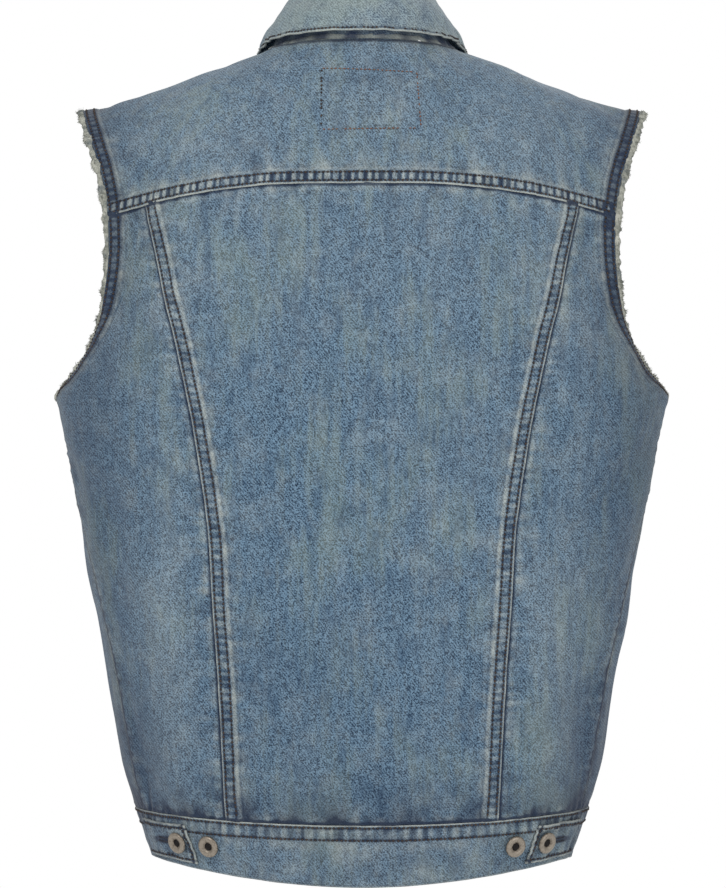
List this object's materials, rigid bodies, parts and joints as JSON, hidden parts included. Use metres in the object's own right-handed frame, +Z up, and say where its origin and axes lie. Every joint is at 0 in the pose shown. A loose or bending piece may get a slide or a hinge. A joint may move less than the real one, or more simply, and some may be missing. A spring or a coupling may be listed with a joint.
{
  "type": "sleeveless denim vest",
  "caption": "Sleeveless button-front denim vest with a fold-down collar, back yoke, waistband with side tabs and frayed armholes, filled out as if worn.",
  "frame": {"origin": "Midway between the two points where a shoulder seam meets the neck seam, which is where the wearer's shoulders hold the vest up", "axes": "+Z up, +Y the wearer's front, so that the back faces -Y, and +X the wearer's right"},
  "size_m": [0.4838, 0.2578, 0.6912],
  "materials": {
    "denim": "washed indigo twill, matte, mottled and paler on its seams",
    "frayed_edge": "raveled pale cotton",
    "button_metal": "antiqued, dull, worn brighter on the rims"
  },
  "bodies": {
    "root": {"back_yoke": "denim", "back_center_panel": "denim", "back_side_panel_left": "denim", "back_side_panel_right": "denim", "front_panel_left": "denim", "front_panel_right": "denim", "waistband_back": "denim", "waistband_front_left": "denim", "waistband_front_right": "denim", "waist_tab_left": "denim", "waist_tab_right": "denim", "collar": "denim", "armhole_fray_left": "frayed_edge", "armhole_fray_right": "frayed_edge", "front_button_1": "button_metal", "front_button_2": "button_metal", "front_button_3": "button_metal", "front_button_4": "button_metal", "front_button_5": "button_metal", "waistband_button": "button_metal", "tab_button_left": "button_metal", "spare_button_left": "button_metal", "tab_button_right": "button_metal", "spare_button_right": "button_metal"}
  },
  "joints": []
}
